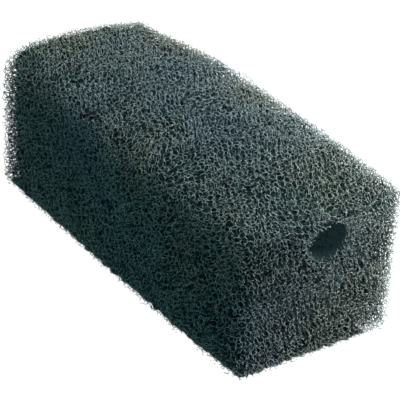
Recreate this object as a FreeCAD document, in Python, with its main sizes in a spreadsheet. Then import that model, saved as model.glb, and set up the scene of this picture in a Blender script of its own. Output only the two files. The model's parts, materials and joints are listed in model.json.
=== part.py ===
"""Sponge filter: one cut block of coarse open-cell foam with a blind bore in one end.

Frame: millimetres, +Z up, the length along Y. The bore opens in the end at -Y. The origin
is on the flat underside, in the middle of the block's box.
"""

import FreeCAD, Part
import math
import os

import Sketcher

V = FreeCAD.Vector
doc = FreeCAD.newDocument("sponge_filter")

# ---------------------------------------------------------------- driving dimensions
sheet = doc.addObject("Spreadsheet::Sheet", "dims")
CELLS = [
    # alias, value (mm), what it is
    ("block_length", "250", "overall length, from the crown of the bored end to the far end"),
    ("block_width", "104", "overall width at the fullest point of the bulged side"),
    ("block_height", "93.5", "overall height at the crown"),
    ("side_height", "86", "height of the two long upper edges"),
    ("near_height", "86", "height of the crown line at the bored end"),
    ("crown_start", "72", "length over which the crown line climbs from the bored end"),
    ("side_bulge", "5", "how far the +X side stands out beyond its two ends"),
    ("bulge_place", "85", "where the +X side is fullest, from the bored end"),
    ("end_bulge", "10", "how far the bored end's upper middle stands out beyond its corners"),
    ("near_corner", "4", "plan radius of the two corners at the bored end"),
    ("far_corner", "5", "plan radius of the two far corners"),
    ("upper_edge", "4", "radius of the two long upper edges"),
    ("far_top_round", "20", "radius of the far upper edge"),
    ("bore_dia", "22.5", "bore for the tube"),
    ("bore_depth", "188", "depth of the blind bore from the crown of the bored end"),
    ("bore_x", "-4", "bore axis across the width"),
    ("bore_z", "71.5", "bore axis above the underside"),
    ("stock", "40", "how far the cutting profiles reach past the block"),
]
for i, (alias, value, what) in enumerate(CELLS, start=1):
    sheet.set("A%d" % i, what)
    sheet.set("B%d" % i, value)
    sheet.setAlias("B%d" % i, alias)
doc.recompute()


def D(alias):
    return float(sheet.get(alias))


L, W, H = D("block_length"), D("block_width"), D("block_height")
S = D("stock")


# ---------------------------------------------------------------- helpers
def origin_plane(body, role):
    for f in body.Origin.OriginFeatures:
        if f.Role == role:
            return f
    raise ValueError(role)


def new_sketch(body, role, name):
    sk = body.newObject("Sketcher::SketchObject", name)
    sk.AttachmentSupport = [(origin_plane(body, role), "")]
    sk.MapMode = "FlatFace"
    return sk


def line(sk, a, b):
    return sk.addGeometry(Part.LineSegment(V(a[0], a[1], 0), V(b[0], b[1], 0)), False)


def arc(sk, a, m, b):
    """Circular arc from a to b through m; the sketch keeps its arcs anticlockwise."""
    return sk.addGeometry(
        Part.Arc(V(a[0], a[1], 0), V(m[0], m[1], 0), V(b[0], b[1], 0)), False
    )


def closed(sk, pieces):
    """Ties each piece's end to the next one's start, finding which end point touches."""
    n = len(pieces)
    for k in range(n):
        g, h_ = pieces[k], pieces[(k + 1) % n]
        best = min(
            (
                (sk.getPoint(g, p) - sk.getPoint(h_, q)).Length,
                p,
                q,
            )
            for p in (1, 2)
            for q in (1, 2)
        )
        sk.addConstraint(Sketcher.Constraint("Coincident", g, best[1], h_, best[2]))


def frame_lines(sk, x0, y0, x1, y1):
    """The outer rectangle of a cutting profile, held by its two opposite corners."""
    ids = [
        line(sk, (x0, y0), (x1, y0)),
        line(sk, (x1, y0), (x1, y1)),
        line(sk, (x1, y1), (x0, y1)),
        line(sk, (x0, y1), (x0, y0)),
    ]
    closed(sk, ids)
    sk.addConstraint(Sketcher.Constraint("Horizontal", ids[0]))
    sk.addConstraint(Sketcher.Constraint("Vertical", ids[1]))
    sk.addConstraint(Sketcher.Constraint("Horizontal", ids[2]))
    sk.addConstraint(Sketcher.Constraint("Vertical", ids[3]))
    return ids


def pin(sk, geo, pos, x_expr, y_expr, name):
    """Holds a point at (x, y) given as sheet expressions, from the sketch's origin."""
    p = sk.getPoint(geo, pos)
    for axis, value, expr in (("X", p.x, x_expr), ("Y", p.y, y_expr)):
        if expr is None:
            continue
        k = sk.addConstraint(
            Sketcher.Constraint("Distance" + axis, -1, 1, geo, pos, value)
        )
        label = "%s_%s" % (name, axis.lower())
        sk.renameConstraint(k, label)
        sk.setExpression("Constraints." + label, expr)


def tangent_arc_mid(a, peak):
    """Middle point of the arc from a to peak whose tangent at peak runs along the length."""
    dx, dy = peak[0] - a[0], peak[1] - a[1]
    r = (dx * dx + dy * dy) / (2 * dx)
    c = (peak[0] - r, peak[1])
    ang = math.atan2(a[1] - c[1], a[0] - c[0]) / 2
    return (c[0] + r * math.cos(ang), c[1] + r * math.sin(ang))


body = doc.addObject("PartDesign::Body", "Body_foam_block")
body.Label = "foam_block"

# ---------------------------------------------------------------- 1. slab with a crowned top
# Cross-section in the XZ plane, padded along the whole length.
sk = new_sketch(body, "XZ_Plane", "Section")
ue, sh = D("upper_edge"), D("side_height")
xl, xr = -W / 2, W / 2
# The crown arc runs between the two rounded upper edges through the top of the block.
cw = W / 2 - ue
sag = H - sh
bl = line(sk, (xl, 0), (xr, 0))
rr = line(sk, (xr, 0), (xr, sh - ue))
ar = arc(sk, (xr, sh - ue), (xr - ue + ue * math.cos(math.pi / 4), sh - ue + ue * math.sin(math.pi / 4)), (xr - ue, sh))
top = arc(sk, (cw, sh), (0, H), (-cw, sh))
al = arc(sk, (-cw, sh), (xl + ue - ue * math.cos(math.pi / 4), sh - ue + ue * math.sin(math.pi / 4)), (xl, sh - ue))
ll = line(sk, (xl, sh - ue), (xl, 0))
closed(sk, [bl, rr, ar, top, al, ll])
sk.addConstraint(Sketcher.Constraint("Horizontal", bl))
sk.addConstraint(Sketcher.Constraint("Vertical", rr))
sk.addConstraint(Sketcher.Constraint("Vertical", ll))
pin(sk, bl, 1, "-dims.block_width / 2", "0", "lower_left")
pin(sk, bl, 2, "dims.block_width / 2", None, "lower_right")
pin(sk, rr, 2, None, "dims.side_height - dims.upper_edge", "right_top")
pin(sk, ll, 1, None, "dims.side_height - dims.upper_edge", "left_top")
for g, name in ((ar, "round_right"), (al, "round_left")):
    k = sk.addConstraint(Sketcher.Constraint("Radius", g, ue))
    sk.renameConstraint(k, name)
    sk.setExpression("Constraints." + name, "dims.upper_edge")
pin(sk, top, 1, "dims.block_width / 2 - dims.upper_edge", "dims.side_height", "crown_right")
pin(sk, top, 2, "-dims.block_width / 2 + dims.upper_edge", "dims.side_height", "crown_left")
crown_r = (cw * cw + sag * sag) / (2 * sag)
k = sk.addConstraint(Sketcher.Constraint("Radius", top, crown_r))
sk.renameConstraint(k, "crown")
sk.setExpression(
    "Constraints.crown",
    "((dims.block_width / 2 - dims.upper_edge) ^ 2 + (dims.block_height - dims.side_height) ^ 2)"
    " / (2 * (dims.block_height - dims.side_height))",
)
doc.recompute()
assert sk.solve() == 0, "section sketch"

pad = body.newObject("PartDesign::Pad", "Slab")
pad.Profile = sk
pad.Midplane = True
pad.setExpression("Length", "dims.block_length")
doc.recompute()

# ---------------------------------------------------------------- 2. plan outline
# A frame-shaped profile cut right through: what is inside its inner outline stays.
sk = new_sketch(body, "XY_Plane", "Plan")
nb, nc, fc, sb, bp = (
    D("end_bulge"),
    D("near_corner"),
    D("far_corner"),
    D("side_bulge"),
    D("bulge_place"),
)
y0, y1 = -L / 2, L / 2
yn = y0 + nb  # the two corners of the bored end
xs = xr - sb  # the +X side at both ends
peak = (xr, y0 + bp)
frame_ids = frame_lines(sk, xl - S, y0 - S, xr + S, y1 + S)
pin(sk, frame_ids[0], 1, "-dims.block_width / 2 - dims.stock", "-dims.block_length / 2 - dims.stock", "frame_low")
pin(sk, frame_ids[1], 2, "dims.block_width / 2 + dims.stock", "dims.block_length / 2 + dims.stock", "frame_high")

c45 = math.cos(math.pi / 4)
# bored end: one arc across the width, standing out in the middle
ends = arc(sk, (xl + nc, yn), ((xl + xs) / 2, y0), (xs - nc, yn))
cnr = arc(sk, (xs - nc, yn), (xs - nc + nc * c45, yn + nc - nc * c45), (xs, yn + nc))
m1 = tangent_arc_mid((xs, yn + nc), peak)
side1 = arc(sk, (xs, yn + nc), m1, peak)
m2 = tangent_arc_mid((xs, y1 - fc), peak)
side2 = arc(sk, peak, m2, (xs, y1 - fc))
cfr = arc(sk, (xs, y1 - fc), (xs - fc + fc * c45, y1 - fc + fc * c45), (xs - fc, y1))
far = line(sk, (xs - fc, y1), (xl + fc, y1))
cfl = arc(sk, (xl + fc, y1), (xl + fc - fc * c45, y1 - fc + fc * c45), (xl, y1 - fc))
left = line(sk, (xl, y1 - fc), (xl, yn + nc))
cnl = arc(sk, (xl, yn + nc), (xl + nc - nc * c45, yn + nc - nc * c45), (xl + nc, yn))
ring = [ends, cnr, side1, side2, cfr, far, cfl, left, cnl]
closed(sk, ring)


def end_at(g, x, y):
    """The end of piece g that lies at (x, y)."""
    return min((1, 2), key=lambda p: (sk.getPoint(g, p) - V(x, y, 0)).Length)


LO, HI = "-dims.block_length / 2", "dims.block_length / 2"
XL, XS = "-dims.block_width / 2", "dims.block_width / 2 - dims.side_bulge"
pin(sk, cnl, end_at(cnl, xl + nc, yn), XL + " + dims.near_corner", LO + " + dims.end_bulge", "near_left_a")
pin(sk, cnl, end_at(cnl, xl, yn + nc), XL, LO + " + dims.end_bulge + dims.near_corner", "near_left_b")
pin(sk, cnr, end_at(cnr, xs - nc, yn), XS + " - dims.near_corner", LO + " + dims.end_bulge", "near_right_a")
pin(sk, cnr, end_at(cnr, xs, yn + nc), XS, LO + " + dims.end_bulge + dims.near_corner", "near_right_b")
pin(sk, side1, end_at(side1, *peak), "dims.block_width / 2", LO + " + dims.bulge_place", "fullest")
pin(sk, cfr, end_at(cfr, xs, y1 - fc), XS, HI + " - dims.far_corner", "far_right_a")
pin(sk, cfr, end_at(cfr, xs - fc, y1), XS + " - dims.far_corner", HI, "far_right_b")
pin(sk, cfl, end_at(cfl, xl + fc, y1), XL + " + dims.far_corner", HI, "far_left_a")
pin(sk, cfl, end_at(cfl, xl, y1 - fc), XL, HI + " - dims.far_corner", "far_left_b")
for g, name, cell in (
    (cnl, "r_near_left", "dims.near_corner"),
    (cnr, "r_near_right", "dims.near_corner"),
    (cfr, "r_far_right", "dims.far_corner"),
    (cfl, "r_far_left", "dims.far_corner"),
):
    k = sk.addConstraint(Sketcher.Constraint("Radius", g, nc if "near" in name else fc))
    sk.renameConstraint(k, name)
    sk.setExpression("Constraints." + name, cell)
half = (xs - xl) / 2 - nc
r_end = (half * half + nb * nb) / (2 * nb)
k = sk.addConstraint(Sketcher.Constraint("Radius", ends, r_end))
sk.renameConstraint(k, "r_end")
sk.setExpression(
    "Constraints.r_end",
    "(((dims.block_width - dims.side_bulge) / 2 - dims.near_corner) ^ 2 + dims.end_bulge ^ 2)"
    " / (2 * dims.end_bulge)",
)
# the two side arcs turn into each other at the fullest point, so their centres lie at its height
pin(sk, side1, 3, None, LO + " + dims.bulge_place", "side_near_centre")
pin(sk, side2, 3, None, LO + " + dims.bulge_place", "side_far_centre")
doc.recompute()
assert sk.solve() == 0, "plan sketch"

before = body.Shape.Volume
plan = body.newObject("PartDesign::Pocket", "Plan_cut")
plan.Profile = sk
plan.Type = 1  # through all
plan.Midplane = True
doc.recompute()
after_plan = body.Shape.Volume
assert after_plan < before - 1000, "the plan cut removed nothing"

# ---------------------------------------------------------------- 3. side outline
# Seen along X: flat underside, the bored end leaning out towards its top, a crown line that
# climbs from the bored end, and a well-rounded far upper edge.
sk = new_sketch(body, "YZ_Plane", "Profile")
nh, cs, ft = D("near_height"), D("crown_start"), D("far_top_round")
fr = frame_lines(sk, y0 - S, -S, y1 + S, H + S)
pin(sk, fr[0], 1, LO + " - dims.stock", "-dims.stock", "frame_low")
pin(sk, fr[1], 2, HI + " + dims.stock", "dims.block_height + dims.stock", "frame_high")
g1 = line(sk, (yn, 0), (y1, 0))
g2 = line(sk, (y1, 0), (y1, H - ft))
g3 = arc(sk, (y1, H - ft), (y1 - ft + ft * c45, H - ft + ft * c45), (y1 - ft, H))
g4 = line(sk, (y1 - ft, H), (y0 + cs, H))
# rising crown line: an arc that ends level where it meets the straight part
rise, run = H - nh, cs
r_c = (rise * rise + run * run) / (2 * rise)
cy, cz = y0 + cs, H - r_c
a_mid = (math.pi / 2 + math.atan2(nh - cz, y0 - cy)) / 2
g5 = arc(sk, (y0 + cs, H), (cy + r_c * math.cos(a_mid), cz + r_c * math.sin(a_mid)), (y0, nh))
# bored end: an arc that is upright at the top and leans back to the underside
r_e = (nb * nb + nh * nh) / (2 * nb)
b_mid = (math.pi + math.atan2(-nh, yn - (y0 + r_e)) + (2 * math.pi if math.atan2(-nh, yn - (y0 + r_e)) < 0 else 0)) / 2
g6 = arc(sk, (y0, nh), (y0 + r_e + r_e * math.cos(b_mid), nh + r_e * math.sin(b_mid)), (yn, 0))
closed(sk, [g1, g2, g3, g4, g5, g6])
sk.addConstraint(Sketcher.Constraint("Horizontal", g1))
sk.addConstraint(Sketcher.Constraint("Vertical", g2))
sk.addConstraint(Sketcher.Constraint("Horizontal", g4))
pin(sk, g1, 1, LO + " + dims.end_bulge", "0", "foot_near")
pin(sk, g1, 2, HI, None, "foot_far")
pin(sk, g2, 2, None, "dims.block_height - dims.far_top_round", "far_top")
k = sk.addConstraint(Sketcher.Constraint("Radius", g3, ft))
sk.renameConstraint(k, "r_far_top")
sk.setExpression("Constraints.r_far_top", "dims.far_top_round")
pin(sk, g4, 1, HI + " - dims.far_top_round", "dims.block_height", "crown_far")
pin(sk, g4, 2, LO + " + dims.crown_start", None, "crown_near")
e5 = min((1, 2), key=lambda p: (sk.getPoint(g5, p) - V(y0, nh, 0)).Length)
pin(sk, g5, e5, LO, "dims.near_height", "near_top")
pin(sk, g5, 3, LO + " + dims.crown_start", None, "crown_centre")
pin(sk, g6, 3, None, "dims.near_height", "end_centre")
doc.recompute()
assert sk.solve() == 0, "side sketch"

side = body.newObject("PartDesign::Pocket", "Profile_cut")
side.Profile = sk
side.Type = 1
side.Midplane = True
doc.recompute()
after_side = body.Shape.Volume
assert after_side < after_plan - 1000, "the side cut removed nothing"

# ---------------------------------------------------------------- 4. blind bore for the tube
sk = new_sketch(body, "XZ_Plane", "Bore_circle")
sk.setExpression("AttachmentOffset.Base.z", "dims.block_length / 2")
br = D("bore_dia") / 2
c = sk.addGeometry(Part.Circle(V(D("bore_x"), D("bore_z"), 0), V(0, 0, 1), br), False)
pin(sk, c, 3, "dims.bore_x", "dims.bore_z", "bore")
k = sk.addConstraint(Sketcher.Constraint("Diameter", c, 2 * br))
sk.renameConstraint(k, "dia")
sk.setExpression("Constraints.dia", "dims.bore_dia")
doc.recompute()
assert sk.solve() == 0, "bore sketch"

bore = body.newObject("PartDesign::Pocket", "Bore")
bore.Profile = sk
bore.Type = 0
bore.setExpression("Length", "dims.bore_depth")
doc.recompute()
want = math.pi * br * br * D("bore_depth")
got = after_side - body.Shape.Volume
if got < 0.5 * want:
    bore.Reversed = not bore.Reversed
    doc.recompute()
    got = after_side - body.Shape.Volume
assert 0.9 * want < got < 1.01 * want, "bore volume %.0f, expected about %.0f" % (got, want)
body.Tip = bore
doc.recompute()

# ---------------------------------------------------------------- checks and export
for o in doc.Objects:
    bad = [s for s in o.State if s in ("Invalid", "Error")]
    if bad:
        raise RuntimeError("%s is %s" % (o.Name, bad))

os.makedirs("parts", exist_ok=True)
for b in [body]:
    b.Placement = FreeCAD.Placement(V(0, 0, 0), FreeCAD.Rotation())
    shape = b.Shape
    if shape.isNull() or not shape.isValid() or len(shape.Solids) != 1:
        raise RuntimeError("%s has no single valid solid" % b.Label)
    box = shape.BoundBox
    print(
        "%s: %.1f cm3, x %.2f..%.2f  y %.2f..%.2f  z %.2f..%.2f, %d faces"
        % (b.Label, shape.Volume / 1000, box.XMin, box.XMax, box.YMin, box.YMax, box.ZMin, box.ZMax, len(shape.Faces))
    )
    shape.exportStep("parts/%s.step" % b.Label)
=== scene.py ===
import itertools
import json
import math

import bpy
import numpy as np
from mathutils import Matrix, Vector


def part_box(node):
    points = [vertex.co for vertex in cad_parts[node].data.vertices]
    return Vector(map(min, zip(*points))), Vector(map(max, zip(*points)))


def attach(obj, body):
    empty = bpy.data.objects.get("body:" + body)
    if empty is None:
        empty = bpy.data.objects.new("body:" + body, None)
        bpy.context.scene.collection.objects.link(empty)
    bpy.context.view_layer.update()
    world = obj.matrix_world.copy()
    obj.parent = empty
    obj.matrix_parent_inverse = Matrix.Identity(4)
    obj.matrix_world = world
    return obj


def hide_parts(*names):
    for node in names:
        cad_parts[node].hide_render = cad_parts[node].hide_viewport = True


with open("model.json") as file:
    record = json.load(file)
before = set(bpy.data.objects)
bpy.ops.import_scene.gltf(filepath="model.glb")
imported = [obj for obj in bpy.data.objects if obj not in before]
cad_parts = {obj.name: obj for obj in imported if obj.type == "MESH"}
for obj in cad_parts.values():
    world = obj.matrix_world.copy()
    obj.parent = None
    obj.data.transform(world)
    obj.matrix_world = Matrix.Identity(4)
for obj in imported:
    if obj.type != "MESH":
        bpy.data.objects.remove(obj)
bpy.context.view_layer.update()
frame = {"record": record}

# ---------------------------------------------------------------------------
# 1. The block's shape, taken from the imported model's box and its bore mount
# ---------------------------------------------------------------------------
LOW, HIGH = (np.array(c, float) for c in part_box("foam_block"))
BORE = next(m for m in frame["record"]["mounts"] if m["kind"] == "bore")
BORE_X, BORE_Z = BORE["pos_m"][0], BORE["pos_m"][2]
BORE_R = BORE["dims"]["r_mm"] / 1000
BORE_MOUTH = BORE["pos_m"][1]
BORE_END = BORE_MOUTH + BORE["dims"]["length_mm"] / 1000

# The straight block before it bulges: its near lower left corner is at BASE, and
# U is the height of its bored end's corners. The other sizes are in that height.
U = 0.0828 * (HIGH[2] - LOW[2]) / 0.0935
WIDE, LONG = 1.1531, 2.8936
SIDE_OUT, SIDE_IN, FULLEST, TOP_WIDER = 0.0598, 0.0227, 0.3132, 0.0219
FAR_RISE, SIDE_DROP, CROWN, FAR_SAG = 0.0762, 0.0245, 0.12, 0.042
END_OUT = 0.1215
BASE = np.array([LOW[0] + 0.034 * U, LOW[1] + END_OUT * U, LOW[2]])
BW, BL, BH = WIDE * U, LONG * U, U
R_NEAR, R_FAR_LEFT, R_FAR_RIGHT = 0.05 * U, 0.05 * U, 0.077 * U
R_EDGE, R_FAR_EDGE, R_FOOT = 0.05 * U, 0.25 * U, 0.02 * U


def rounded_and(d1, d2, r):
    """The inside of both, with their common edge rounded to r."""
    q1, q2 = d1 + r, d2 + r
    return np.minimum(np.maximum(q1, q2), 0) + np.hypot(np.maximum(q1, 0), np.maximum(q2, 0)) - r


def outside_by(p):
    """How far each point of the straight block's space is outside it; negative inside."""
    x, y, z = p[:, 0] - BW / 2, p[:, 1] - BL / 2, p[:, 2]
    r = np.where(y < 0, R_NEAR, np.where(x < 0, R_FAR_LEFT, R_FAR_RIGHT))
    qx, qy = np.abs(x) - BW / 2 + r, np.abs(y) - BL / 2 + r
    plan = np.minimum(np.maximum(qx, qy), 0) + np.hypot(np.maximum(qx, 0), np.maximum(qy, 0)) - r
    w = np.clip((p[:, 1] - 0.75 * BL) / (0.25 * BL), 0, 1)
    top = rounded_and(plan, z - BH, R_EDGE * (1 - w) + R_FAR_EDGE * w)
    foot = rounded_and(plan, 0.0010 - z, R_FOOT)
    return np.maximum(top, foot)


def bulged(p):
    """Moves points of the straight block to where the real, slightly barrelled block has them."""
    q = p / U
    a, t, c = q[:, 0] / WIDE, q[:, 1] / LONG, q[:, 2]
    tt = np.where(t < FULLEST, 0.5 * t / FULLEST, 0.5 + 0.5 * (t - FULLEST) / (1 - FULLEST))
    full = np.sin(np.pi * np.clip(tt, 0, 1))
    ac, cc = np.clip(a, 0, 1), np.clip(c, 0, None)
    across = 1 - (2 * ac - 1) ** 2
    x = q[:, 0] + SIDE_OUT * full * ac**2 * (0.5 + 0.5 * cc) - SIDE_IN * full * (1 - ac) ** 2 + TOP_WIDER * (ac - 0.5) * cc
    far = np.clip((t - 0.66) / 0.20, 0, 1)
    sag = FAR_SAG * far * far * (3 - 2 * far) * ac**2
    z = c * (1 + FAR_RISE * np.clip(t, 0, 1) - SIDE_DROP * full * ac + CROWN * across * (0.3 + 0.7 * full) - sag)
    y = q[:, 1] - END_OUT * np.clip(1 - t / 0.35, 0, 1) ** 2 * np.clip(across, 0, 1) * cc**2
    return np.stack([x, y, z], 1) * U + BASE


def in_bore_by(p):
    """How far each point of the real block is from the bore's wall; negative inside the bore."""
    rho = np.hypot(p[:, 0] - BORE_X, p[:, 2] - BORE_Z)
    return np.maximum(rho - BORE_R, p[:, 1] - BORE_END)


# ---------------------------------------------------------------------------
# 2. The foam's cells: the edges of the Voronoi cells of a jittered, turned
#    body-centred lattice, which is how gas cells pack in a rising foam
# ---------------------------------------------------------------------------
CELL = 0.0038  # lattice constant; a cell is 0.98 of it across
STRETCH = np.array([0.95, 1.10, 0.99])  # cells are drawn out along the block, the way its foam rose
SHELL = 0.0070  # how deep the open network is modelled
SHELL_FOOT = 0.0050
LINING = 0.0030  # how deep it is around the bore
TUNNEL_R = BORE_R + 0.0011  # where the dark behind the bore's wall begins


def turned(ax, ay, az):
    rx = np.array([[1, 0, 0], [0, math.cos(ax), -math.sin(ax)], [0, math.sin(ax), math.cos(ax)]])
    ry = np.array([[math.cos(ay), 0, math.sin(ay)], [0, 1, 0], [-math.sin(ay), 0, math.cos(ay)]])
    rz = np.array([[math.cos(az), -math.sin(az), 0], [math.sin(az), math.cos(az), 0], [0, 0, 1]])
    return rz @ ry @ rx


def groups_of_four(most=11):
    """Every way that a lattice point and three later ones can share a Voronoi corner."""
    r = range(-4, 5)
    offs = np.array([
        o for o in itertools.product(r, r, r)
        if o > (0, 0, 0) and o[0] % 2 == o[1] % 2 == o[2] % 2 and sum(v * v for v in o) <= most
    ])
    gap = ((offs[:, None] - offs[None]) ** 2).sum(2)
    size = (offs**2).sum(1)
    out = []
    for i, j, k in itertools.combinations(range(len(offs)), 3):
        if max(gap[i, j], gap[i, k], gap[j, k]) > most:
            continue
        six = [size[i], size[j], size[k], gap[i, j], gap[i, k], gap[j, k]]
        if sum(v > 8 for v in six) > 1 or sum(v > 4 for v in six) > 4:
            continue
        m = offs[[i, j, k]].astype(float)
        if abs(np.linalg.det(m)) > 1e-9 and np.linalg.norm(np.linalg.solve(m, 0.5 * (m * m).sum(1))) > 2.3:
            continue
        out.append((i, j, k))
    return offs, out


def cell_network(wanted, lo, hi, a, jitter, rot, seed):
    """The corners and edges of the cells between lo and hi whose seeds are wanted."""
    rng = np.random.default_rng(seed)
    c = (lo + hi) / 2
    q = (np.array(list(itertools.product(*zip(lo, hi)))) - c) @ rot / (a / 2)
    n0, n1 = np.floor(q.min(0)).astype(int) - 1, np.ceil(q.max(0)).astype(int) + 1
    shape = n1 - n0 + 11
    grid = np.stack(np.meshgrid(*[np.arange(n0[k], n1[k] + 1) for k in range(3)], indexing="ij"), -1).reshape(-1, 3)
    odd = grid % 2
    grid = grid[(odd[:, 0] == odd[:, 1]) & (odd[:, 1] == odd[:, 2])]
    seeds = (grid * (a / 2)) @ rot.T + c
    keep = ((seeds > lo) & (seeds < hi)).all(1)
    grid, seeds = grid[keep], seeds[keep]
    keep = wanted(seeds)
    grid, seeds = grid[keep], seeds[keep]
    seeds = seeds + np.clip(rng.normal(0, jitter * a, seeds.shape), -2.3 * jitter * a, 2.3 * jitter * a)
    g = grid - n0 + 5
    flat = (g[:, 0] * shape[1] + g[:, 1]) * shape[2] + g[:, 2]
    at = np.full(int(np.prod(shape)), -1, np.int32)
    at[flat] = np.arange(len(seeds))
    offs, kinds = groups_of_four()
    near = at[flat[:, None] + ((offs[:, 0] * shape[1] + offs[:, 1]) * shape[2] + offs[:, 2])[None]]
    rel = seeds[near] - seeds[:, None]
    half = 0.5 * (rel * rel).sum(2)
    most = (0.80 * a) ** 2
    fours, centres = [], []
    for i, j, k in kinds:
        s = np.nonzero((near[:, i] >= 0) & (near[:, j] >= 0) & (near[:, k] >= 0))[0]
        u, v, w = rel[s, i], rel[s, j], rel[s, k]
        vw = np.cross(v, w)
        det = (u * vw).sum(1)
        good = np.abs(det) > 1e-4 * a**3
        s, u, v, w, vw, det = s[good], u[good], v[good], w[good], vw[good], det[good]
        x = (half[s, i][:, None] * vw + half[s, j][:, None] * np.cross(w, u) + half[s, k][:, None] * np.cross(u, v)) / det[:, None]
        good = (x * x).sum(1) < most
        s, x = s[good], x[good]
        fours.append(np.stack([s, near[s, i], near[s, j], near[s, k]], 1))
        centres.append(x)
    four, x = np.concatenate(fours), np.concatenate(centres)
    # a corner is real only if no other seed is nearer to it
    r2 = (x * x).sum(1)
    around = [
        o for o in itertools.product(range(-4, 5), repeat=3)
        if o != (0, 0, 0) and o[0] % 2 == o[1] % 2 == o[2] % 2 and sum(v * v for v in o) <= 16
    ]
    for o in sorted(around, key=lambda o: sum(v * v for v in o)):
        n = at[flat[four[:, 0]] + (o[0] * shape[1] + o[1]) * shape[2] + o[2]]
        d = seeds[n] - seeds[four[:, 0]] - x
        bad = (n >= 0) & ((d * d).sum(1) < r2 * (1 - 1e-7)) & ~(n[:, None] == four[:, 1:]).any(1)
        four, x, r2 = four[~bad], x[~bad], r2[~bad]
    corners = seeds[four[:, 0]] + x
    # two corners that share three seeds are the ends of one strut
    four = np.sort(four, 1).astype(np.int64)
    n = len(seeds)
    face = np.concatenate([four[:, [0, 1, 2]], four[:, [0, 1, 3]], four[:, [0, 2, 3]], four[:, [1, 2, 3]]])
    key = (face[:, 0] * n + face[:, 1]) * n + face[:, 2]
    who = np.tile(np.arange(len(four)), 4)
    order = np.argsort(key, kind="stable")
    key, who = key[order], who[order]
    same = key[1:] == key[:-1]
    return corners, np.stack([who[:-1][same], who[1:][same]], 1)


def relaxed(v, e, rounds=3, pull=0.4):
    """Draws each corner towards the middle of its neighbours, as a liquid film would."""
    count = np.bincount(e.ravel(), minlength=len(v))
    free = count >= 3
    for _ in range(rounds):
        s = np.stack([
            np.bincount(e[:, 0], v[e[:, 1], k], len(v)) + np.bincount(e[:, 1], v[e[:, 0], k], len(v))
            for k in range(3)
        ], 1)
        v = np.where(free[:, None], (1 - pull) * v + pull * s / np.maximum(count, 1)[:, None], v)
    return v


def cut(p, q, dp, dq, at):
    """Cuts segments p-q where their distance reaches at, and keeps the part below it."""
    keep = (dp < at) | (dq < at)
    p, q, dp, dq, at = p[keep], q[keep], dp[keep], dq[keep], at[keep]
    t = np.clip((at - dp) / np.where(np.abs(dq - dp) < 1e-9, 1e-9, dq - dp), 0, 1)[:, None]
    x = p + t * (q - p)
    return np.where((dp < at)[:, None], p, x), np.where((dq < at)[:, None], q, x), keep


waves = np.random.default_rng(41)
WAVE_TO = waves.normal(size=(14, 3))
WAVE_TO *= (2 * math.pi / waves.uniform(0.018, 0.045, 14) / np.linalg.norm(WAVE_TO, axis=1))[:, None]
WAVE_BY, WAVE_AT = waves.normal(0, 0.00036, (14, 3)), waves.uniform(0, 2 * math.pi, 14)


def wandered(p):
    """Bends the rows of cells gently, so that no straight row runs through the block."""
    return (p + np.sin(p @ WAVE_TO.T + WAVE_AT) @ WAVE_BY) * STRETCH


MARGIN = 1.3 * CELL + 0.003
lo, hi = -MARGIN / STRETCH, (np.array([BW, BL, BH]) + MARGIN) / STRETCH


def wanted_seed(p):
    p = wandered(p)
    d = outside_by(p)
    outer = (d > -(SHELL + 1.2 * CELL)) & (d < 1.3 * CELL)
    b = bulged(p)
    lining = (d < 1.3 * CELL) & (np.abs(in_bore_by(b)) < LINING + 1.3 * CELL)
    return outer | lining


corners, edges = cell_network(wanted_seed, lo, hi, CELL, 0.16, turned(0.5, 0.35, 0.9), 7)
corners = wandered(relaxed(corners, edges))
rng = np.random.default_rng(23)
edges = edges[rng.random(len(edges)) > 0.006]

P, Q = corners[edges[:, 0]], corners[edges[:, 1]]
dP, dQ = outside_by(P), outside_by(Q)
reach = rng.uniform(0.0002, 0.0013, len(P)) + 0.0014 * (rng.random(len(P)) < 0.10)
P, Q, _ = cut(P, Q, dP, dQ, reach)
depth = -0.5 * (outside_by(P) + outside_by(Q))
foot = 0.5 * (P[:, 2] + Q[:, 2])
behind_end = 0.5 * (P[:, 1] + Q[:, 1])
P, Q = bulged(P), bulged(Q)
hP, hQ = in_bore_by(P), in_bore_by(Q)
P, Q, kept = cut(P, Q, -hP, -hQ, rng.uniform(-0.0006, 0.0002, len(P)))
depth, foot, behind_end = depth[kept], foot[kept], behind_end[kept]
lining = 0.5 * (in_bore_by(P) + in_bore_by(Q))
length = np.linalg.norm(Q - P, axis=1)
near_face = np.minimum(depth, np.maximum(lining, 0))
top_side_end = (depth < SHELL) & ((foot > SHELL_FOOT) | (depth < SHELL_FOOT))
in_lining = lining < LINING
keep = (top_side_end | in_lining) & (length > 0.00012)
P, Q, near_face, length, depth, lining, behind_end = (v[keep] for v in (P, Q, near_face, length, depth, lining, behind_end))
at_end = (behind_end - depth < 0.0012) & (behind_end < 0.010)
even = np.where(depth < 0.0006, 0.0004, np.where(depth < 0.0012, 0.0009, np.minimum(1.2 * depth, 0.0023)))
depth = np.where(at_end, even, depth)  # light falls more evenly on the bored end and reaches further in
# struts deep in the bore's lining get foam_bore_wall, the foam at a tenth of its colour: painted shade in the bore
bore_wall = (lining < 0.0030) & (depth > 0.0052)
depth = np.where((lining < 0.0016) & (depth < 0.0052), 0.34 * depth, depth)  # the rim of the bore catches light too
print("struts", len(P), "mean length mm", round(float(length.mean()) * 1000, 2))

# ---------------------------------------------------------------------------
# 3. The struts: three-sided, as foam struts are, thicker where they meet
# ---------------------------------------------------------------------------
NODE_R, WAIST_R, PLAIN_R = 0.00019, 0.000115, 0.00023
FINE = 0.0014  # struts nearer a face than this have a waist


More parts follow.
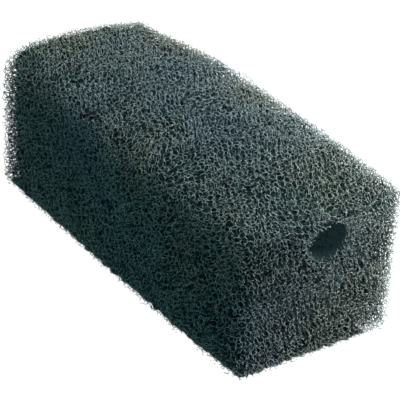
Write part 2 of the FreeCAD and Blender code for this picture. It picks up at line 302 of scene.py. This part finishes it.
def strut_mesh(p, q, waisted, rng):
    """Vertices and faces of closed three-sided struts from p to q."""
    n = len(p)
    if n == 0:
        return np.zeros((0, 3)), np.zeros((0, 3), int)
    d = q - p
    d /= np.maximum(np.linalg.norm(d, axis=1, keepdims=True), 1e-9)
    r = rng.normal(size=(n, 3))
    u = np.cross(d, r)
    u /= np.maximum(np.linalg.norm(u, axis=1, keepdims=True), 1e-9)
    w = np.cross(d, u)
    size = rng.uniform(0.86, 1.16, (n, 1))
    rings = [(0.0, NODE_R), (0.5, WAIST_R), (1.0, NODE_R)] if waisted else [(0.0, PLAIN_R), (1.0, PLAIN_R)]
    pts = []
    for t, rad in rings:
        for k in range(3):
            ang = 2 * math.pi * k / 3
            pts.append(p + t * (q - p) + rad * size * (math.cos(ang) * u + math.sin(ang) * w))
    pts = np.stack(pts, 1)  # n, 3*rings, 3
    m = len(rings)
    tri = [(0, 2, 1), (3 * m - 3, 3 * m - 2, 3 * m - 1)]
    for s in range(m - 1):
        b = 3 * s
        for k in range(3):
            k2 = (k + 1) % 3
            tri += [(b + k, b + k2, b + 3 + k2), (b + k, b + 3 + k2, b + 3 + k)]
    tri = np.array(tri)
    faces = (np.arange(n) * (3 * m))[:, None, None] + tri[None]
    return pts.reshape(-1, 3), faces.reshape(-1, 3)


def around(p):
    """Where round the block's outline a point is, from 0 to 1."""
    c = np.array([(LOW[0] + HIGH[0]) / 2, 0, (LOW[2] + HIGH[2]) / 2])
    s = np.array([(HIGH[0] - LOW[0]) / 2, 1, (HIGH[2] - LOW[2]) / 2])
    return np.arctan2((p[:, 2] - c[2]) / s[2], (p[:, 0] - c[0]) / s[0]) / (2 * math.pi) + 0.5


BANDS = np.array([0.00055, 0.0011, 0.0017, 0.0024, 0.0032, 0.0041, 0.0052])  # depths that part eight bands
BAND_PAINTED_SHADE = np.array([1.00, 0.52, 0.23, 0.12, 0.08, 0.06, 0.045, 0.03])  # painted shade: the deeper a band lies, the darker, for the light that falls off into the foam


def mesh_object(name, verts, faces, band, material, smooth=True):
    me = bpy.data.meshes.new(name)
    me.vertices.add(len(verts))
    me.vertices.foreach_set("co", verts.astype(np.float32).ravel())
    me.loops.add(faces.size)
    me.loops.foreach_set("vertex_index", faces.astype(np.int32).ravel())
    me.polygons.add(len(faces))
    me.polygons.foreach_set("loop_start", np.arange(0, faces.size, 3, dtype=np.int32))
    me.update(calc_edges=True)
    me.polygons.foreach_set("use_smooth", np.full(len(faces), smooth))
    me.materials.append(material)
    # how far in a strut lies, for its shade, and for its place in the OFBake map that a bake reads:
    # along the block one way, and by depth and then round the outline the other
    me.attributes.new("shade", "FLOAT", "POINT").data.foreach_set("value", BAND_PAINTED_SHADE[band].astype(np.float32))
    uv = me.uv_layers.new(name="OFBake")
    y0, y1 = verts[:, 1].min(), verts[:, 1].max()
    per = np.stack([(verts[:, 1] - y0) / (y1 - y0) * 0.98 + 0.01, (band + 0.05 + 0.9 * around(verts)) / len(BAND_PAINTED_SHADE)], 1)
    uv.data.foreach_set("uv", per[faces.ravel()].astype(np.float32).ravel())
    me.validate(clean_customdata=False)
    ob = bpy.data.objects.new(name, me)
    bpy.context.scene.collection.objects.link(ob)
    return ob


# ---------------------------------------------------------------------------
# 4. Materials
# ---------------------------------------------------------------------------
def new_material(name):
    m = bpy.data.materials.new(name)
    m.use_nodes = True
    nt = m.node_tree
    return m, nt, nt.nodes["Principled BSDF"]


def noise(nt, coords, scale, detail, rough=0.5):
    n = nt.nodes.new("ShaderNodeTexNoise")
    n.inputs["Scale"].default_value = scale
    n.inputs["Detail"].default_value = detail
    n.inputs["Roughness"].default_value = rough
    nt.links.new(coords, n.inputs["Vector"])
    return n.outputs["Fac"]


def ramp(nt, fac, stops):
    r = nt.nodes.new("ShaderNodeValToRGB")
    while len(r.color_ramp.elements) < len(stops):
        r.color_ramp.elements.new(0.5)
    for e, (pos, col) in zip(r.color_ramp.elements, stops):
        e.position = pos
        e.color = (*col, 1) if len(col) == 3 else col
    nt.links.new(fac, r.inputs["Fac"])
    return r.outputs["Color"]


def mix(nt, kind, fac, a, b):
    m = nt.nodes.new("ShaderNodeMix")
    m.data_type = "RGBA"
    m.blend_type = kind
    m.inputs[0].default_value = fac
    nt.links.new(a, m.inputs[6])
    nt.links.new(b, m.inputs[7])
    return m.outputs[2]


def foam_material(name, shade):
    m, nt, bsdf = new_material(name)
    geo = nt.nodes.new("ShaderNodeNewGeometry").outputs["Position"]
    patch = ramp(nt, noise(nt, geo, 15, 2.0), [
        (0.30, tuple(shade * v for v in (0.093, 0.121, 0.135))),
        (0.50, tuple(shade * v for v in (0.108, 0.130, 0.124))),
        (0.70, tuple(shade * v for v in (0.118, 0.130, 0.105))),
    ])
    fleck = ramp(nt, noise(nt, geo, 420, 2.0), [(0.25, (0.70, 0.70, 0.70)), (0.75, (1.0, 1.0, 1.0))])
    deep = nt.nodes.new("ShaderNodeAttribute")
    deep.attribute_type, deep.attribute_name = "GEOMETRY", "shade"
    # painted shade by depth: the shade attribute darkens deep struts and turns them more teal
    depth_shade_paint = ramp(nt, deep.outputs["Fac"], [(0.0, (0.004, 0.022, 0.026)), (0.25, (0.17, 0.27, 0.28)), (1.0, (1.0, 1.0, 1.0))])
    tinted = mix(nt, "MULTIPLY", 1.0, patch, fleck)
    nt.links.new(mix(nt, "MULTIPLY", 1.0, tinted, depth_shade_paint), bsdf.inputs["Base Color"])
    rough = ramp(nt, noise(nt, geo, 160, 2.0), [(0.2, (0.30,) * 3), (0.8, (0.50,) * 3)])
    nt.links.new(rough, bsdf.inputs["Roughness"])
    bsdf.inputs["Specular IOR Level"].default_value = 0.06
    return m


def heart_material(name, thin, full):
    """The foam too deep for light to reach: near black, with the ghost of cells in it."""
    m, nt, bsdf = new_material(name)
    geo = nt.nodes.new("ShaderNodeNewGeometry").outputs["Position"]
    v = nt.nodes.new("ShaderNodeTexVoronoi")
    v.feature = "DISTANCE_TO_EDGE"
    v.inputs["Scale"].default_value = 240
    nt.links.new(geo, v.inputs["Vector"])
    nt.links.new(ramp(nt, v.outputs["Distance"], [(0.02, thin), (0.16, full)]), bsdf.inputs["Base Color"])
    nt.links.new(ramp(nt, noise(nt, geo, 300, 1.0), [(0.3, (0.85,) * 3), (0.7, (1.0,) * 3)]), bsdf.inputs["Roughness"])
    bsdf.inputs["Specular IOR Level"].default_value = 0.0
    return m


# foam_bore_wall is the foam at a tenth of its colour: painted shade for the bore's lining
FOAM, WALL, HEART = foam_material("foam", 1.0), foam_material("foam_bore_wall", 0.10), heart_material("foam_heart", (0.006, 0.015, 0.017), (0.0035, 0.0095, 0.0105))
# foam_heart_end is a lighter copy of the heart: painted light where light on the bored end reaches in
HEART_END = heart_material("foam_heart_end", (0.034, 0.052, 0.054), (0.027, 0.043, 0.045))


def tunnel_material():
    """The bore's wall: the deeper in, the paler, for the light that real open foam lets through to it."""
    m, nt, bsdf = new_material("foam_bore_dark")
    geo = nt.nodes.new("ShaderNodeNewGeometry").outputs["Position"]
    split = nt.nodes.new("ShaderNodeSeparateXYZ")
    nt.links.new(geo, split.inputs[0])
    far_in = nt.nodes.new("ShaderNodeMapRange")
    far_in.inputs["From Min"].default_value = BORE_MOUTH
    far_in.inputs["From Max"].default_value = BORE_MOUTH + 0.060
    nt.links.new(split.outputs["Y"], far_in.inputs["Value"])
    by_depth = ramp(nt, far_in.outputs["Result"], [(0.0, (0.0060, 0.0100, 0.0110)), (0.25, (0.018, 0.030, 0.033)), (1.0, (0.06, 0.10, 0.11))])
    uneven = ramp(nt, noise(nt, geo, 300, 2.0), [(0.3, (0.86,) * 3), (0.7, (1.0,) * 3)])
    nt.links.new(mix(nt, "MULTIPLY", 1.0, by_depth, uneven), bsdf.inputs["Base Color"])
    nt.links.new(uneven, bsdf.inputs["Roughness"])
    bsdf.inputs["Specular IOR Level"].default_value = 0.0
    bsdf.inputs["Emission Color"].default_value = (0.0085, 0.0190, 0.0206, 1)  # the light that leaks in
    bsdf.inputs["Emission Strength"].default_value = 1.0
    return m


TUNNEL = tunnel_material()

# ---------------------------------------------------------------------------
# 5. The pieces
# ---------------------------------------------------------------------------
MOST_FACES = 190000  # in one piece


def make_pieces(name, s, material):
    """Pieces for the struts in s, cut along the block so that none is too heavy."""
    mid_y = 0.5 * (P[s, 1] + Q[s, 1])
    fine = near_face[s] < FINE
    weight = np.where(fine, 14, 8)
    count = int(math.ceil(weight.sum() / MOST_FACES))
    order = np.argsort(mid_y, kind="stable")
    part_of = np.empty(len(s), int)
    part_of[order] = np.minimum((np.cumsum(weight[order]) / weight.sum() * count).astype(int), count - 1)
    for i in range(count):
        mine = part_of == i
        a, b = s[mine & fine], s[mine & ~fine]
        v1, f1 = strut_mesh(P[a], Q[a], True, rng)
        v2, f2 = strut_mesh(P[b], Q[b], False, rng)
        v, f = np.concatenate([v1, v2]), np.concatenate([f1, f2 + len(v1)])
        band = np.concatenate([np.repeat(bands[a], 9), np.repeat(bands[b], 6)])
        ob = mesh_object("%s_%02d" % (name, i + 1), v, f, band, material)
        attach(ob, "root")
        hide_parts("foam_block")
        print(ob.name, len(v), len(f))


bands = np.searchsorted(BANDS, depth)
make_pieces("foam_struts", np.nonzero(~bore_wall)[0], FOAM)
bands = np.searchsorted(BANDS, np.maximum(lining, 0) + 0.001)
make_pieces("foam_bore_wall", np.nonzero(bore_wall)[0], WALL)


def round_bar(name, rad, y0, y1, a0, a1):
    """A closed bar along the bore's axis, whose section is the circle from a0 to a1 degrees."""
    n = 48
    whole = a1 - a0 >= 360
    angs = [math.radians(a0 + (a1 - a0) * k / (n if whole else n - 1)) for k in range(n)]
    ring = [(BORE_X + rad * math.cos(a), BORE_Z + rad * math.sin(a)) for a in angs]
    steps = max(1, int((y1 - y0) / 0.004))
    tv = [(x, y0 + (y1 - y0) * j / steps, z) for j in range(steps + 1) for x, z in ring]
    tf = [(j * n + k, (j + 1) * n + k, (j + 1) * n + (k + 1) % n, j * n + (k + 1) % n) for j in range(steps) for k in range(n)]
    tf += [tuple(range(n)), tuple(range((steps + 1) * n - 1, steps * n - 1, -1))]
    tm = bpy.data.meshes.new(name)
    tm.from_pydata(tv, [], tf)
    tm.update()
    ob = bpy.data.objects.new(name, tm)
    bpy.context.scene.collection.objects.link(ob)
    return ob


def volume_of(me):
    """The volume inside a closed mesh, in litres; negative if its faces look inwards."""
    total = 0.0
    for f in me.polygons:
        v = [me.vertices[i].co for i in f.vertices]
        for a, b in zip(v[1:-1], v[2:]):
            total += v[0].dot(a.cross(b)) / 6
    return round(total * 1000, 4)


def heart():
    """The inner body behind the open shell, near black as painted shade for foam too deep for light, with a tunnel
    round the bore's lining.
    """
    inset, foot_in, r = 0.0052, 0.0038, 0.005
    nx, ny, nz = 24, 64, 20
    size = np.array([BW - inset - 0.0110, BL - 2 * inset, BH - inset - foot_in])
    start = np.array([inset, inset, foot_in])
    pts, faces, index = [], [], {}

    def vert(i, j, k):
        key = (i, j, k)
        if key not in index:
            index[key] = len(pts)
            p = np.array([i / nx, j / ny, k / nz]) * size
            c = np.clip(p, r, size - r)
            d = p - c
            n = np.linalg.norm(d)
            pts.append(start + (c + d / n * r if n > r * 1e-3 else p))
        return index[key]

    for a in range(nx):
        for b in range(ny):
            faces.append((vert(a, b, 0), vert(a, b + 1, 0), vert(a + 1, b + 1, 0), vert(a + 1, b, 0)))
            faces.append((vert(a, b, nz), vert(a + 1, b, nz), vert(a + 1, b + 1, nz), vert(a, b + 1, nz)))
    for a in range(nx):
        for c in range(nz):
            faces.append((vert(a, 0, c), vert(a + 1, 0, c), vert(a + 1, 0, c + 1), vert(a, 0, c + 1)))
            faces.append((vert(a, ny, c), vert(a, ny, c + 1), vert(a + 1, ny, c + 1), vert(a + 1, ny, c)))
    for b in range(ny):
        for c in range(nz):
            faces.append((vert(0, b, c), vert(0, b, c + 1), vert(0, b + 1, c + 1), vert(0, b + 1, c)))
            faces.append((vert(nx, b, c), vert(nx, b + 1, c), vert(nx, b + 1, c + 1), vert(nx, b, c + 1)))
    # an uneven surface, as the ends of cells give it
    p = bulged(np.array(pts) + np.random.default_rng(5).normal(0, 0.0011, (len(pts), 3)))
    me = bpy.data.meshes.new("foam_heart")
    me.from_pydata([tuple(x) for x in p], [], faces)
    me.update()
    print("heart volume", volume_of(me), len(me.polygons))
    ob = bpy.data.objects.new("foam_heart", me)
    bpy.context.scene.collection.objects.link(ob)
    # a sleeve where the bore runs shallow, then the tunnel through both
    sleeve = round_bar("sleeve", TUNNEL_R + 0.0008, BORE_MOUTH + 0.0056, BORE_MOUTH + 0.0700, 0, 360)
    tunnel = round_bar("tunnel", TUNNEL_R, LOW[1] - 0.01, BORE_END + 0.0011, 0, 360)
    for name, kind, tool in (("sleeve", "UNION", sleeve), ("tunnel", "DIFFERENCE", tunnel)):
        mod = ob.modifiers.new(name, "BOOLEAN")
        mod.operation, mod.solver, mod.object = kind, "EXACT", tool
    dg = bpy.context.evaluated_depsgraph_get()
    done = bpy.data.meshes.new_from_object(ob.evaluated_get(dg))
    ob.modifiers.clear()
    ob.data = done
    for tool in (sleeve, tunnel):
        tm = tool.data
        bpy.data.objects.remove(tool)
        bpy.data.meshes.remove(tm)
    bpy.data.meshes.remove(me)
    done.name = "foam_heart"
    print("cut heart", volume_of(done), len(done.polygons))
    done.materials.clear()
    done.materials.append(HEART)
    done.materials.append(TUNNEL)
    done.materials.append(HEART_END)
    for f in done.polygons:
        c = f.center
        across = abs(f.normal.y) > 0.7 and c.y < BORE_END
        f.material_index = int(not across and (abs(math.hypot(c.x - BORE_X, c.z - BORE_Z) - TUNNEL_R) < 0.0006 or c.y > BORE_END and abs(c.y - BORE_END - 0.0011) < 0.0006 and math.hypot(c.x - BORE_X, c.z - BORE_Z) < TUNNEL_R))
        # heart faces that look out of the bored end get the lighter foam_heart_end: painted light
        if f.material_index == 0 and f.normal.y < -0.6 and c.y < LOW[1] + 0.016 and math.hypot(c.x - BORE_X, c.z - BORE_Z) > TUNNEL_R + 0.0012:
            f.material_index = 2
    return ob


core = heart()
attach(core, "root")
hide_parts("foam_block")

# ---------------------------------------------------------------------------
# 6. Floor, light and camera
# ---------------------------------------------------------------------------
def floor():
    """A pale table lit from within, but not under the block, whose shade fades out at its foot."""
    n = 150
    side = np.linspace(0, 1, n, endpoint=False)
    rough = np.random.default_rng(77)
    verts, lit = [], []
    torn = rough.normal(0, 1, 4 * n)
    torn = 0.00045 * (torn + 0.6 * np.roll(torn, 1) + 0.6 * np.roll(torn, -1))
    # no glow under the block, fading in at a torn edge round its foot: a painted shadow
    for inset, level in ((0.0080, 0.0), (0.0030, 0.0), (0.0020, 1.0), (-0.0030, 1.0), (-4.0, 1.0)):
        x0, x1, y0, y1 = inset, BW - inset - (0.010 if inset > 0.001 else 0), inset, BL - inset
        path = [(x0 + (x1 - x0) * t, y0) for t in side] + [(x1, y0 + (y1 - y0) * t) for t in side]
        path += [(x1 - (x1 - x0) * t, y1) for t in side] + [(x0, y1 - (y1 - y0) * t) for t in side]
        straight = np.array([(x, y, 0.0) for x, y in path])
        if 0.001 < inset < 0.004:
            inwards = np.array([BW / 2, BL / 2, 0.0]) - straight
            inwards /= np.maximum(np.abs(inwards).max(axis=1, keepdims=True), 1e-6)
            straight = straight + inwards * torn[:, None]
        ring = bulged(straight) if inset > -1 else straight + BASE
        verts += [(x, y, LOW[2] - 0.0004) for x, y, _ in ring]
        lit += [level] * len(ring)
    k, rings = 4 * n, len(verts) // (4 * n)
    faces = [tuple(range(k))]
    faces += [(r * k + a, (r + 1) * k + a, (r + 1) * k + (a + 1) % k, r * k + (a + 1) % k) for r in range(rings - 1) for a in range(k)]
    me = bpy.data.meshes.new("floor")
    me.from_pydata(verts, [], faces)
    me.attributes.new("lit", "FLOAT", "POINT").data.foreach_set("value", np.array(lit, np.float32))
    m, nt, bsdf = new_material("floor")
    bsdf.inputs["Base Color"].default_value = (0.022, 0.028, 0.026, 1)
    bsdf.inputs["Roughness"].default_value = 0.9
    bsdf.inputs["Specular IOR Level"].default_value = 0.0
    bsdf.inputs["Emission Color"].default_value = (1, 1, 1, 1)
    glow = nt.nodes.new("ShaderNodeAttribute")
    glow.attribute_type, glow.attribute_name = "GEOMETRY", "lit"
    nt.links.new(glow.outputs["Fac"], bsdf.inputs["Emission Strength"])
    me.materials.append(m)
    ob = bpy.data.objects.new("floor", me)
    bpy.context.scene.collection.objects.link(ob)
    ob.visible_diffuse = False


floor()


def area(name, place, target, size, power, colour=(1, 1, 1)):
    li = bpy.data.lights.new(name, "AREA")
    li.shape = "RECTANGLE"
    li.size, li.size_y = size
    li.energy = power
    li.color = colour
    ob = bpy.data.objects.new(name, li)
    d = np.array(target, float) - np.array(place, float)
    z = -d / np.linalg.norm(d)
    x = np.cross((0, 0, 1), z)
    x = np.array((1.0, 0, 0)) if np.linalg.norm(x) < 1e-4 else x / np.linalg.norm(x)
    y = np.cross(z, x)
    ob.matrix_world = Matrix([[x[0], y[0], z[0], place[0]], [x[1], y[1], z[1], place[1]], [x[2], y[2], z[2], place[2]], [0, 0, 0, 1]])
    bpy.context.scene.collection.objects.link(ob)


area("key", (1.08, -0.27, 0.70), (0, 0, 0.04), (0.4, 0.4), 72)
area("front", (0.18, -0.24, 0.09), (0.06, -0.12, 0.045), (0.15, 0.15), 3.2)
area("overhead", (0.10, -0.06, 1.7), (0, 0, 0), (1.1, 1.1), 80)
area("fill", (-1.25, -0.05, 0.55), (0, 0, 0.04), (0.9, 0.9), 16.5, (0.20, 0.92, 1.0))

world = bpy.data.worlds.new("studio")
world.use_nodes = True
world.node_tree.nodes["Background"].inputs["Color"].default_value = (0.70, 0.95, 1.0, 1)
world.node_tree.nodes["Background"].inputs["Strength"].default_value = 0.10
bpy.context.scene.world = world
bpy.context.scene.view_settings.view_transform = "Standard"

RIGHT = np.array([0.823497, -0.565677, 0.043148])
DOWN = np.array([-0.25204, -0.432929, -0.865476])
AHEAD = np.array([0.50826, 0.701842, -0.499089])
PLACE = np.array([-0.49244, -0.68648, 0.51992])
cam = bpy.data.cameras.new("camera")
cam.sensor_width = 36
cam.lens = 159.86
cam.clip_start, cam.clip_end = 0.05, 50
eye = bpy.data.objects.new("camera", cam)
m = np.eye(4)
m[:3, 0], m[:3, 1], m[:3, 2], m[:3, 3] = RIGHT, -DOWN, -AHEAD, PLACE
eye.matrix_world = Matrix(m.tolist())
bpy.context.scene.collection.objects.link(eye)
bpy.context.scene.camera = eye
